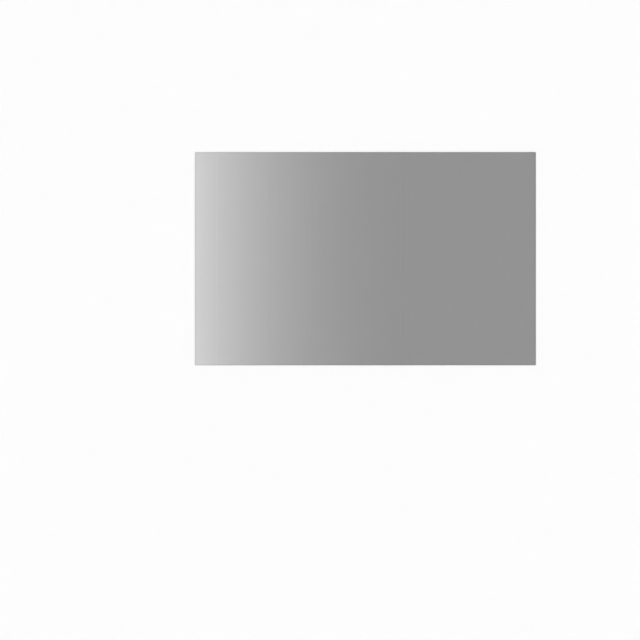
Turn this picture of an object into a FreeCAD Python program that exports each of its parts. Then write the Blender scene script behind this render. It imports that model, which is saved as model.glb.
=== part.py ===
"""Privacy filter: one die-cut sheet of tinted film, of the 24-inch size in 16:10 proportions.

Millimetres, +Z up. The sheet lies flat, as it comes to rest on a table, with its viewing face up.
The origin is the middle of the back face.
+X points to the viewer's right, +Y to the sheet's top edge and +Z out of the viewing face.
"""

import FreeCAD
import Part
import Sketcher
import math
import os

# Driving dimensions: name, size in millimetres, what it measures
DIMENSIONS = (
    ("sheet_width", 518.4, "side to side, the standard width of the 24-inch 16:10 size"),
    ("sheet_height", 324.0, "bottom to top, the standard height of the same size"),
    ("film_gauge", 0.5, "thickness of the laminated film"),
    ("corner_radius", 1.0, "bend of the cutting rule at each corner"),
    ("edge_roll", 0.12, "round left on the rim of the viewing face, where the cutting rule goes in"),
)
# The roll takes up no more than this share of the film's thickness, or of the corner that it goes round.
MOST_ROLL = 0.6

# A sketch's numbers for the start and the end of a line or an arc, and for its own origin point
START = 1
END = 2
ORIGIN_POINT = (-1, 1)


def add_dimensions(doc):
    """Spreadsheet with one named cell for each driving dimension."""
    sheet = doc.addObject("Spreadsheet::Sheet", "dimensions")
    for row, (name, size, meaning) in enumerate(DIMENSIONS, start=1):
        sheet.set(f"A{row}", name)
        sheet.set(f"B{row}", str(size))
        sheet.setAlias(f"B{row}", name)
        sheet.set(f"C{row}", meaning)
    doc.recompute()
    return sheet


def draw_sides(sketch, half_width, half_height, radius):
    """The four straight sides, anticlockwise from the bottom one, each short of its corners by the radius."""
    inner_x = half_width - radius
    inner_y = half_height - radius
    ends = (
        ((-inner_x, -half_height), (inner_x, -half_height)),
        ((half_width, -inner_y), (half_width, inner_y)),
        ((inner_x, half_height), (-inner_x, half_height)),
        ((-half_width, inner_y), (-half_width, -inner_y)),
    )
    return [
        sketch.addGeometry(Part.LineSegment(FreeCAD.Vector(*start), FreeCAD.Vector(*end)))
        for start, end in ends
    ]


def draw_corners(sketch, half_width, half_height, radius):
    """The four corner arcs, each a quarter turn that starts where the side of the same number ends."""
    quarter = math.pi / 2
    arcs = []
    for number, (right, up) in enumerate(((1, -1), (1, 1), (-1, 1), (-1, -1))):
        centre = FreeCAD.Vector(right * (half_width - radius), up * (half_height - radius))
        circle = Part.Circle(centre, FreeCAD.Vector(0, 0, 1), radius)
        begin = (number - 1) * quarter
        arcs.append(sketch.addGeometry(Part.ArcOfCircle(circle, begin, begin + quarter)))
    return arcs


def draw_die_outline(sketch, sheet):
    """The cutting rule's line: four sides that run into equal corner bends, centred on the origin."""
    drawn = (sheet.sheet_width / 2, sheet.sheet_height / 2, sheet.corner_radius)
    bottom, right, top, left = sides = draw_sides(sketch, *drawn)
    corners = draw_corners(sketch, *drawn)

    rules = [Sketcher.Constraint("Horizontal", side) for side in (bottom, top)]
    rules += [Sketcher.Constraint("Vertical", side) for side in (right, left)]
    rules += [Sketcher.Constraint("Equal", corners[0], corner) for corner in corners[1:]]
    for number, corner in enumerate(corners):
        next_side = sides[(number + 1) % len(sides)]
        rules.append(Sketcher.Constraint("Tangent", sides[number], END, corner, START))
        rules.append(Sketcher.Constraint("Tangent", corner, END, next_side, START))
    rules.append(Sketcher.Constraint("Symmetric", bottom, START, top, START, *ORIGIN_POINT))
    for rule in rules:
        sketch.addConstraint(rule)

    sizes = {
        "sheet_width": Sketcher.Constraint("DistanceX", left, START, right, START, sheet.sheet_width),
        "sheet_height": Sketcher.Constraint("DistanceY", bottom, START, top, START, sheet.sheet_height),
        "corner_radius": Sketcher.Constraint("Radius", corners[0], sheet.corner_radius),
    }
    for name, constraint in sizes.items():
        sketch.renameConstraint(sketch.addConstraint(constraint), name)
        sketch.setExpression(f"Constraints.{name}", f"dimensions.{name}")


def rim_edges(shape):
    """Names of the edges round a shape's highest face, which on the film is the viewing face."""
    viewing_face = max(shape.Faces, key=lambda face: face.CenterOfMass.z)
    names = []
    for number, edge in enumerate(shape.Edges, start=1):
        if any(edge.isSame(rim) for rim in viewing_face.Edges):
            names.append(f"Edge{number}")
    return names


def add_filter_sheet(doc, sheet):
    """The film: cut to the die's outline, as thick as its gauge, with the viewing face's rim rolled over."""
    body = doc.addObject("PartDesign::Body", "filter_sheet")
    body.Label = "filter_sheet"
    back_plane = next(plane for plane in body.Origin.OriginFeatures if plane.Role == "XY_Plane")

    outline = body.newObject("Sketcher::SketchObject", "die_outline")
    outline.AttachmentSupport = (back_plane, [""])
    outline.MapMode = "FlatFace"
    draw_die_outline(outline, sheet)

    film = body.newObject("PartDesign::Pad", "film")
    film.Profile = outline
    film.setExpression("Length", "dimensions.film_gauge")
    doc.recompute()

    thinnest = "min(dimensions.film_gauge; dimensions.corner_radius)"
    rolled = body.newObject("PartDesign::Fillet", "rolled_rim")
    rolled.Base = (film, rim_edges(film.Shape))
    rolled.setExpression("Radius", f"min(dimensions.edge_roll; {MOST_ROLL} * {thinnest})")
    doc.recompute()
    return body


def check(doc, parts):
    """Stops the build where an object failed, a sketch is loose or a sub-part isn't one sound solid."""
    for item in doc.Objects:
        if {"Invalid", "Error"} & set(item.State):
            raise RuntimeError(f"{item.Name} failed")
        if item.isDerivedFrom("Sketcher::SketchObject") and not item.FullyConstrained:
            raise RuntimeError(f"{item.Name} isn't fully constrained")
    for part in parts:
        shape = part.Shape
        if shape.isNull() or not shape.isValid() or len(shape.Solids) != 1:
            raise RuntimeError(f"{part.Label} isn't one valid solid")
        box = shape.optimalBoundingBox(False)
        print(f"{part.Label}: {box.XLength:.2f} x {box.YLength:.2f} x {box.ZLength:.2f} mm")
        print(f"{part.Label}: volume {shape.Volume:.1f} mm3, {len(shape.Faces)} faces")


def main():
    doc = FreeCAD.newDocument("privacy_filter")
    sheet = add_dimensions(doc)
    parts = [add_filter_sheet(doc, sheet)]
    check(doc, parts)
    os.makedirs("parts", exist_ok=True)
    for part in parts:
        part.Shape.exportStep(f"parts/{part.Label}.step")


main()
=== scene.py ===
# %% [markdown]
# # A privacy filter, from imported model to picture
# The real object is one sheet of tinted film, cut with a die to a standard size. Fine upright louvres
# inside it let a reader straight in front see through it, and turn it dark for a neighbour.
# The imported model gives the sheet's size and place, and this lesson never changes those.
# It adds what the eye sees: the cut edge, the tint, the two faces, the light and the camera.

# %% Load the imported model
import math

import bmesh
import bpy
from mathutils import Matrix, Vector


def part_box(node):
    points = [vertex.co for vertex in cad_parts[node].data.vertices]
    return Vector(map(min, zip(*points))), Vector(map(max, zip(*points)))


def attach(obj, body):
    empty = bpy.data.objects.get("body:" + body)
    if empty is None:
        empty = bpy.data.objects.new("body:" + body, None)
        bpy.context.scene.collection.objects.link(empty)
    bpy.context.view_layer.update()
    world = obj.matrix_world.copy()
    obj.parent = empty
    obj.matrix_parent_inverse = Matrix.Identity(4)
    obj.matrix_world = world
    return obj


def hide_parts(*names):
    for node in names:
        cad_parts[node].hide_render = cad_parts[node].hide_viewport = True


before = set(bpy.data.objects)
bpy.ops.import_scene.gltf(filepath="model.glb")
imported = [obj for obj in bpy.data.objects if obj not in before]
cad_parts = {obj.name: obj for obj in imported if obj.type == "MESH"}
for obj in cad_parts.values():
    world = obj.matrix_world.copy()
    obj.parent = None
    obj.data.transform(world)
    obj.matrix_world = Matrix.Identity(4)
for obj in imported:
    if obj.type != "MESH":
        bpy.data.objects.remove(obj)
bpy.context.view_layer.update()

MM = 0.001

low, high = (Vector(corner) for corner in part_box("filter_sheet"))
middle = (low + high) / 2
film_size = high - low
print("film, mm:", [round(side / MM, 2) for side in film_size])

# %% [markdown]
# ## The camera
# The photograph faces the film squarely, with the film above and to the right of the picture's middle.
# Here the film lies flat, so the camera looks straight down on it, and the top of the picture is +Y.
# Lens shift could move the film in the picture, but a shift follows the camera into every other view.
# So the camera itself stands off to one side, by as much as the film's place in the photograph asks.

# %% Camera above the film
# The photograph's side and the film's edges in it, in pixels
PICTURE_SIDE = 640
FILM_LEFT, FILM_RIGHT = 194.94, 535.83
FILM_TOP, FILM_BOTTOM = 152.17, 365.20
CAMERA_HEIGHT = 2000 * MM

metres_per_pixel = film_size.x / (FILM_RIGHT - FILM_LEFT)
film_right_by = (FILM_LEFT + FILM_RIGHT - PICTURE_SIDE) / 2 * metres_per_pixel
film_up_by = (PICTURE_SIDE - FILM_TOP - FILM_BOTTOM) / 2 * metres_per_pixel

optics = bpy.data.cameras.new("camera_above")
optics.lens = optics.sensor_width * CAMERA_HEIGHT / (PICTURE_SIDE * metres_per_pixel)
camera = bpy.data.objects.new("camera_above", optics)
camera.location = (middle.x - film_right_by, middle.y - film_up_by, high.z + CAMERA_HEIGHT)
bpy.context.collection.objects.link(camera)
bpy.context.scene.camera = camera
print(f"lens {optics.lens:.1f} mm, one pixel is {metres_per_pixel / MM:.3f} mm of film")

# %% [markdown]
# ## The die-cut sheet
# A steel rule, bent to the sheet's outline, is pressed through the film. It leaves small round corners,
# a square lower edge, and an upper rim that is drawn down a little where the rule goes in.
# A grid and a Solidify modifier could make a sheet too, but a block with bevelled edges says it plainly:
# first the four upright edges are rounded, then the rim of the upper face.

# %% Cut the sheet
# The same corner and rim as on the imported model
CORNER_RADIUS = 1.0 * MM
EDGE_ROLL = 0.12 * MM
CORNER_STEPS, ROLL_STEPS = 8, 4

sheet = bmesh.new()
bmesh.ops.create_cube(sheet, size=1)
bmesh.ops.scale(sheet, vec=film_size, verts=sheet.verts)
bmesh.ops.translate(sheet, vec=middle, verts=sheet.verts)

rounded = {"affect": "EDGES", "offset_type": "OFFSET", "profile": 0.5, "material": -1}
upright = [edge for edge in sheet.edges if edge.verts[0].co.z != edge.verts[1].co.z]
bmesh.ops.bevel(sheet, geom=upright, offset=CORNER_RADIUS, segments=CORNER_STEPS, **rounded)
upper_face = max(sheet.faces, key=lambda face: face.calc_center_median().z)
rim = list(upper_face.edges)
bmesh.ops.bevel(sheet, geom=rim, offset=EDGE_ROLL, segments=ROLL_STEPS, **rounded)
print(f"sheet: {len(sheet.verts)} points, {len(sheet.faces)} faces")

# %% [markdown]
# ## Three surfaces on one sheet
# The film has a glossy viewing face, a satin back, and the cut all round. They could be three objects,
# but they are one piece of film, so each face of the mesh is only given to one of three materials, by
# the way it points. The sheet is shaded smooth, so that its round edges look round, except at the square
# lower edge. A Weighted Normal modifier then lets the large flat faces win, so that they still look dead
# flat.

# %% Make the sheet an object
# The materials' places on the mesh, in the order in which they are added below
VIEWING_FACE, BACK_FACE, CUT = 0, 1, 2
NEARLY_LEVEL = 0.9
SQUARE_EDGE = math.radians(60)

for edge in sheet.edges:
    edge.smooth = edge.calc_face_angle(0) < SQUARE_EDGE
for face in sheet.faces:
    face.smooth = True
    face.material_index = CUT
    if face.normal.z > NEARLY_LEVEL:
        face.material_index = VIEWING_FACE
    if face.normal.z < -NEARLY_LEVEL:
        face.material_index = BACK_FACE

film_mesh = bpy.data.meshes.new("filter_film")
sheet.to_mesh(film_mesh)
sheet.free()
film = bpy.data.objects.new("filter_film", film_mesh)
bpy.context.collection.objects.link(film)
film.modifiers.new("flat_faces_stay_flat", "WEIGHTED_NORMAL").keep_sharp = True

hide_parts("filter_sheet")
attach(film, "root")
print("the film replaces filter_sheet and rides on root")

# %% [markdown]
# ## Two helpers for materials
# Colours are written as sRGB hex values, as a paint chart gives them, and shaders want linear light, so
# one function turns the first into the second. Nodes could be made and linked line by line, but a tree
# is easier to read when each node is one call: its kind, its inputs, its settings.

# %% Helpers
def linear(hex_colour):
    """A colour such as "#808080" as linear red, green, blue and alpha."""
    shares = [int(hex_colour[at:at + 2], 16) / 255 for at in (1, 3, 5)]
    # The sRGB standard's curve: a short straight line for the darkest tones, and a power above it
    light = [share / 12.92 if share <= 0.04045 else ((share + 0.055) / 1.055) ** 2.4 for share in shares]
    return light + [1.0]


def add_node(tree, kind, inputs, **settings):
    """The outputs of a new node, whose inputs are set to values or linked to other nodes' outputs."""
    node = tree.nodes.new("ShaderNode" + kind)
    for name, value in settings.items():
        setattr(node, name, value)
    for socket, value in inputs.items():
        if isinstance(value, bpy.types.NodeSocket):
            tree.links.new(value, node.inputs[socket])
        else:
            node.inputs[socket].default_value = value
    return node.outputs


print("mid grey #808080 is", round(linear("#808080")[0], 4), "in linear light")

# %% [markdown]
# ## How much light the film lets through
# Polyester film is clear, and its tint and its louvres take light away, so the material is mostly a hole:
# the Alpha of each face says how much light it stops. Glass with absorption could do this too, but it
# bends light for half a millimetre of film, gives noisy shadows, and few other programs can show it.
# Light crosses the film's two faces on its way down to the table and again on its way up to the eye,
# so each face passes the fourth root of the tone that the photograph shows against white.
# Two things are allowed for first: the film mirrors a little light on top of that tone, and light that
# comes down at a slant has lost some more of itself on its longer way.

# %% Measures of the tint
# The tones against white at the film's two ends, and the shares of light that are mirrored and lost
# The dense tone is darker than the clear one by the painted louvre shade of the fade below.
SEEN_CLEAR, SEEN_DENSE = "#D0D0D0", "#939393"
MIRRORED = 0.011
SLANT_LOSS = 0.11
FACES_CROSSED = 4

pass_clear, pass_dense = (
    ((linear(seen)[0] - MIRRORED) / (1 - SLANT_LOSS)) ** (1 / FACES_CROSSED)
    for seen in (SEEN_CLEAR, SEEN_DENSE)
)
print(f"each face passes {pass_clear:.3f} at the clear end and {pass_dense:.3f} at the dense end")

# %% [markdown]
# ## The fade from clear to dense
# In the photograph the tint is thin at the film's left end, and has its full strength about two thirds of
# the way across. The real film's tint is even, so this fade is painted shade: the dark that the louvres
# give from a slant, fixed on the film. A colour ramp could draw that fade, but one power curve follows it
# and has one number to set.

# %% Clear at the left end
FADE_END_PIXEL = 414
FADE_POWER = 2

fade_end = low.x + (FADE_END_PIXEL - FILM_LEFT) * metres_per_pixel


def painted_clearness(tree, place):
    """1 at the film's left end, falling to 0 where the painted louvre shade has its full strength."""
    x = add_node(tree, "SeparateXYZ", {"Vector": place})["X"]
    share = add_node(tree, "MapRange", {
        "Value": x, "From Min": low.x, "From Max": fade_end, "To Min": 1.0, "To Max": 0.0,
    })["Result"]
    return add_node(tree, "Math", {0: share, 1: FADE_POWER}, operation="POWER")["Value"]


# From here on the painted louvre shade is at its full strength.
print(f"the tint has its full strength from x = {fade_end / MM:.0f} mm on")

# %% [markdown]
# ## The louvres
# Real louvres stand about 0.1 mm apart, far too close to show, so they are drawn as faint upright streaks
# some forty times coarser. Even lines could be drawn with a Wave texture, but they beat with the pixels
# of a picture. Noise that changes in one direction only has no even spacing to beat with.
# How dark they make the film from the side changes with where the camera stands, and isn't drawn so,
# because an exported model would lose it. The fade above paints one fixed view of it, as painted shade.

# %% Upright streaks
STREAK_PITCH = 4.0 * MM
STREAK_DEPTH = 0.007
# Noise seldom leaves this range.
NOISE_LOW, NOISE_HIGH = 0.2, 0.8


def streaks(tree, place):
    """How much the louvres thin or thicken the light that passes, about 1, in upright lines."""
    x = add_node(tree, "SeparateXYZ", {"Vector": place})["X"]
    lines = add_node(tree, "TexNoise", {"W": x, "Scale": 1 / STREAK_PITCH}, noise_dimensions="1D")[0]
    return add_node(tree, "MapRange", {
        "Value": lines, "From Min": NOISE_LOW, "From Max": NOISE_HIGH,
        "To Min": 1 - STREAK_DEPTH, "To Max": 1 + STREAK_DEPTH,
    })["Result"]


print(f"streaks every {STREAK_PITCH / MM:.1f} mm or so")

# %% [markdown]
# ## The squeezed rim
# The cutting rule squeezes the laminate, which leaves a line along the cut, a millimetre or two wide, that
# is a little denser than the rest. It could be a strip of mesh with a material of its own, but the line
# has no inner edge. So the distance to the nearest cut is worked out from the place on the sheet.

# %% Denser rim
RIM_WIDTH = 2.2 * MM
RIM_DEPTH = 0.045


def squeezed_rim(tree, place):
    """1 over most of the film, and a little less within RIM_WIDTH of the cut."""
    from_middle = add_node(tree, "VectorMath", {0: place, 1: middle}, operation="SUBTRACT")[0]
    distance = add_node(tree, "VectorMath", {0: from_middle}, operation="ABSOLUTE")[0]
    to_cut = add_node(tree, "VectorMath", {0: film_size / 2, 1: distance}, operation="SUBTRACT")[0]
    ways = add_node(tree, "SeparateXYZ", {"Vector": to_cut})
    nearest = add_node(tree, "Math", {0: ways["X"], 1: ways["Y"]}, operation="MINIMUM")["Value"]
    return add_node(tree, "MapRange", {
        "Value": nearest, "From Min": 0.0, "From Max": RIM_WIDTH, "To Min": 1 - RIM_DEPTH, "To Max": 1.0,
    })["Result"]


print(f"rim {RIM_WIDTH / MM:.1f} mm wide, up to {RIM_DEPTH:.1%} denser")

# %% [markdown]
# ## Light at a slant
# Light that meets the film at a slant goes a longer way through the tint, and more of it is mirrored,
# as on every clear plastic. A glass shader knows both rules. With Alpha they are written out: a Layer
# Weight node gives the slant, 0 straight on and 1 at the flattest. The longer way is a power of what
# passes, and the mirrored share rises with about the fifth power of the slant.

# %% What one face stops
POLYESTER_IOR = 1.57
MIRROR_POWER = 5

longest_way = 1 / math.sqrt(1 - 1 / POLYESTER_IOR ** 2)


def light_stopped(tree, place, clear):
    """The share of light that one face keeps from passing: its Alpha."""
    # Between the two ends the tint carries the painted louvre shade of the fade.
    tint = add_node(tree, "MapRange", {"Value": clear, "To Min": pass_dense, "To Max": pass_clear})["Result"]
    lined = add_node(tree, "Math", {0: tint, 1: streaks(tree, place)}, operation="MULTIPLY")["Value"]
    straight_on = add_node(tree, "Math", {
        0: lined, 1: squeezed_rim(tree, place),
    }, operation="MULTIPLY")["Value"]
    slant = add_node(tree, "LayerWeight", {})["Facing"]
    way = add_node(tree, "MapRange", {"Value": slant, "To Min": 1.0, "To Max": longest_way})["Result"]
    passed = add_node(tree, "Math", {0: straight_on, 1: way}, operation="POWER")["Value"]
    stopped = add_node(tree, "Math", {0: 1.0, 1: passed}, operation="SUBTRACT")["Value"]
    mirrored = add_node(tree, "Math", {0: slant, 1: MIRROR_POWER}, operation="POWER")["Value"]
    return add_node(tree, "MapRange", {"Value": mirrored, "To Min": stopped, "To Max": 1.0})["Result"]


print(f"at the flattest slant the way through the film is {longest_way:.2f} times as long")

# %% [markdown]
# ## The two faces
# The viewing face has a clear hard coat, so it is glossy. The back has a fine satin grain, so that it
# doesn't cling in patches to what it lies on. Both grains are far too fine to draw, so Roughness stands
# for them. Thin plastic sheet also keeps broad, slight waves from the roll that it came off, which show
# only in what it mirrors. Moved points could make them, but the sheet stays as flat as the imported model,
# so a bump bends the mirrored light instead.

# %% Materials of the two faces
# The haze is paler towards the clear end: the film's own haze, with a painted sheen on it there.
HAZE_AND_SHEEN_CLEAR, HAZE_DENSE = "#2E2E2E", "#141414"
WAVE_PITCH = 120.0 * MM
WAVE_HEIGHT = 1.0 * MM
GLOSS_ROUGHNESS, SATIN_ROUGHNESS = 0.06, 0.30
ROUGHNESS_SPREAD = 0.015
FULL_GLOSS = 1.0


def coated_face(name, roughness):
    """Tinted polyester film with a finish on one of its faces."""
    material = bpy.data.materials.new(name)
    material.use_nodes = True
    tree = material.node_tree
    tree.nodes.clear()
    place = add_node(tree, "TexCoord", {})["Object"]
    clear = painted_clearness(tree, place)
    haze_and_sheen = add_node(tree, "Mix", {
        "Factor": clear, "A": linear(HAZE_DENSE), "B": linear(HAZE_AND_SHEEN_CLEAR),
    }, data_type="RGBA")["Result"]
    # Detail 0 leaves the broad waves by themselves, with no finer ones on them.
    waves = add_node(tree, "TexNoise", {"Vector": place, "Scale": 1 / WAVE_PITCH, "Detail": 0.0})[0]
    grain = add_node(tree, "MapRange", {
        "Value": waves, "From Min": NOISE_LOW, "From Max": NOISE_HIGH,
        "To Min": roughness - ROUGHNESS_SPREAD, "To Max": roughness + ROUGHNESS_SPREAD,
    })["Result"]
    bent = add_node(tree, "Bump", {"Height": waves, "Distance": WAVE_HEIGHT})["Normal"]
    # Alpha also thins what a face mirrors, and a raised Specular IOR Level makes up for that.
    shader = add_node(tree, "BsdfPrincipled", {
        "Base Color": haze_and_sheen, "Roughness": grain, "IOR": POLYESTER_IOR, "Specular IOR Level": FULL_GLOSS,
        "Alpha": light_stopped(tree, place, clear), "Normal": bent,
    })["BSDF"]
    add_node(tree, "OutputMaterial", {"Surface": shader})
    return material


# Hard-coated polyester: smoky and clear, and it mirrors windows with edges that waver a little.
film_mesh.materials.append(coated_face("tinted_polyester_gloss_coat", GLOSS_ROUGHNESS))
# Satin polyester: the same smoky tint, with what it mirrors spread to a soft sheen.
film_mesh.materials.append(coated_face("tinted_polyester_satin_back", SATIN_ROUGHNESS))
print("faces:", [material.name for material in film_mesh.materials])

# %% [markdown]
# ## The cut
# Cut polyester is duller than its faces, because the rule tears the last of it. Light that runs along
# inside the film comes out here, so the cut is pale at the clear end and dark at the dense end.
# A light-scattering shader could work that out, but the cut is half a millimetre high, so that light is
# painted into two tones, along the same fade.

# %% Material of the cut
# The clear end's paler cut is painted light that comes out of the film.
CUT_CLEAR, CUT_DENSE = "#6A6A6A", "#2A2A2A"
CUT_STOPS_CLEAR, CUT_STOPS_DENSE = 0.45, 0.80
CUT_ROUGHNESS = 0.55


def cut_edge():
    """Die-cut polyester, for the wall round the sheet."""
    material = bpy.data.materials.new("tinted_polyester_die_cut")
    material.use_nodes = True
    tree = material.node_tree
    tree.nodes.clear()
    place = add_node(tree, "TexCoord", {})["Object"]
    clear = painted_clearness(tree, place)
    shade = add_node(tree, "Mix", {
        "Factor": clear, "A": linear(CUT_DENSE), "B": linear(CUT_CLEAR),
    }, data_type="RGBA")["Result"]
    stopped = add_node(tree, "MapRange", {
        "Value": clear, "To Min": CUT_STOPS_DENSE, "To Max": CUT_STOPS_CLEAR,
    })["Result"]
    shader = add_node(tree, "BsdfPrincipled", {
        "Base Color": shade, "Roughness": CUT_ROUGHNESS, "IOR": POLYESTER_IOR, "Alpha": stopped,
    })["BSDF"]
    add_node(tree, "OutputMaterial", {"Surface": shader})
    return material


# Cut polyester: a thin, dull line round the sheet, with light painted on it towards the clear end.
film_mesh.materials.append(cut_edge())
print("cut:", film_mesh.materials[CUT].name)

# %% [markdown]
# ## The table
# A pale matt table shows the tint best. A backdrop that curves up behind the film could stand in for it,
# as in a photographer's studio, but it would show its back to a camera on the other side. So the table
# is flat, and so large that its far edge isn't seen. It lies a hair below the film, so that the two
# surfaces don't fight for the same place.

# %% Table
TABLE_GAP = 0.1 * MM
TABLE_SIDE = 200.0
PAINT_WHITE = "#F7F7F7"
PAINT_ROUGHNESS = 0.9

table_mesh = bmesh.new()
bmesh.ops.create_grid(table_mesh, x_segments=1, y_segments=1, size=TABLE_SIDE / 2)
bmesh.ops.translate(table_mesh, vec=(0, 0, low.z - TABLE_GAP), verts=table_mesh.verts)
table = bpy.data.objects.new("table", bpy.data.meshes.new("table"))
table_mesh.to_mesh(table.data)
table_mesh.free()
bpy.context.collection.objects.link(table)

# Matt paint: it mirrors nothing, so the table is the same white from every side.
paint = bpy.data.materials.new("matt_white_paint")
paint.use_nodes = True
paint_shader = paint.node_tree.nodes["Principled BSDF"].inputs
paint_shader["Base Color"].default_value = linear(PAINT_WHITE)
paint_shader["Roughness"].default_value = PAINT_ROUGHNESS
paint_shader["Specular IOR Level"].default_value = 0.0
table.data.materials.append(paint)
print(f"table {TABLE_SIDE:.0f} m square, {TABLE_GAP / MM:.1f} mm below the film")

# %% [markdown]
# ## The room
# The film mirrors what is around it, most of all at a slant. A room that is white all over would turn it
# into a sheet of bright metal, so the walls are white only at their foot, where they run on from the
# table, and grey above that. A photographer does the same with dark cloth round a glossy thing.

# %% Grey room with white at the foot of its walls
# Brightness, and the heights between which it changes, as sines of the angle above the table
WALL_WHITE, ROOM_GREY = 0.983, 0.28
WHITE_BELOW, GREY_ABOVE = math.sin(math.radians(3)), math.sin(math.radians(12))

room = bpy.data.worlds.new("studio_room")
room.use_nodes = True
room_tree = room.node_tree
room_tree.nodes.clear()
towards = add_node(room_tree, "TexCoord", {})["Generated"]
room_ways = add_node(room_tree, "SeparateXYZ", {"Vector": towards})
wall = add_node(room_tree, "MapRange", {
    "Value": room_ways["Z"], "From Min": WHITE_BELOW, "From Max": GREY_ABOVE,
    "To Min": WALL_WHITE, "To Max": ROOM_GREY,
}, interpolation_type="SMOOTHSTEP")["Result"]
print(f"room: {WALL_WHITE} at the foot of the walls, {ROOM_GREY} above")

# %% [markdown]
# ## The windows
# The light comes from tall, narrow windows all round the room. Lamps could light the table too, but near
# ones leave a bright pool on it. The windows are as far off as the sky, so the light is soft and even,
# and the film mirrors their edges, which is how the eye tells a glossy sheet from a dull one.
# None is overhead, so the camera above the film sees no glare, and straight ahead of a reader stands a
# pillar. The bearing times the number of windows has a cosine that is high at each pillar and low
# between two, so one threshold cuts the windows out.

# %% Windows all round
WINDOW_COUNT = 16
PILLAR_SHARE = 0.60
WINDOW_FOOT, WINDOW_HEAD = GREY_ABOVE, math.sin(math.radians(56))
WINDOW_LIGHT = 3.17
# How far the windows' edges fade, in height and in the cosine of the bearing
SOFT_LEVEL_EDGE, SOFT_UPRIGHT_EDGE = 0.02, 0.08

bearing = add_node(room_tree, "Math", {
    0: room_ways["X"], 1: room_ways["Y"],
}, operation="ARCTAN2")["Value"]
bays = add_node(room_tree, "Math", {0: bearing, 1: WINDOW_COUNT}, operation="MULTIPLY")["Value"]
pillars = add_node(room_tree, "Math", {0: bays}, operation="COSINE")["Value"]

window_edges = (
    (room_ways["Z"], WINDOW_FOOT, SOFT_LEVEL_EDGE),
    (room_ways["Z"], WINDOW_HEAD, -SOFT_LEVEL_EDGE),
    (pillars, math.cos(math.pi * PILLAR_SHARE), -SOFT_UPRIGHT_EDGE),
)
brightness = WINDOW_LIGHT
for measure, edge, softness in window_edges:
    inside = add_node(room_tree, "MapRange", {
        "Value": measure, "From Min": edge, "From Max": edge + softness,
    }, interpolation_type="SMOOTHSTEP")["Result"]
    brightness = add_node(room_tree, "Math", {0: brightness, 1: inside}, operation="MULTIPLY")["Value"]
print(f"{WINDOW_COUNT} windows of strength {WINDOW_LIGHT}")

# %% [markdown]
# ## Light the scene
# The walls and the windows add up to one background, which is all the light there is. They could be two
# background shaders added together, but one sum of their strengths needs one shader. The Standard view
# keeps each tone as it is worked out, so that it can be measured against the photograph.

# %% Background
NEUTRAL_LIGHT = "#FFFFFF"

total = add_node(room_tree, "Math", {0: wall, 1: brightness}, operation="ADD")["Value"]
backdrop = add_node(room_tree, "Background", {
    "Color": linear(NEUTRAL_LIGHT), "Strength": total,
})["Background"]
add_node(room_tree, "OutputWorld", {"Surface": backdrop})
bpy.context.scene.world = room
bpy.context.scene.view_settings.view_transform = "Standard"
print("background:", room.name)
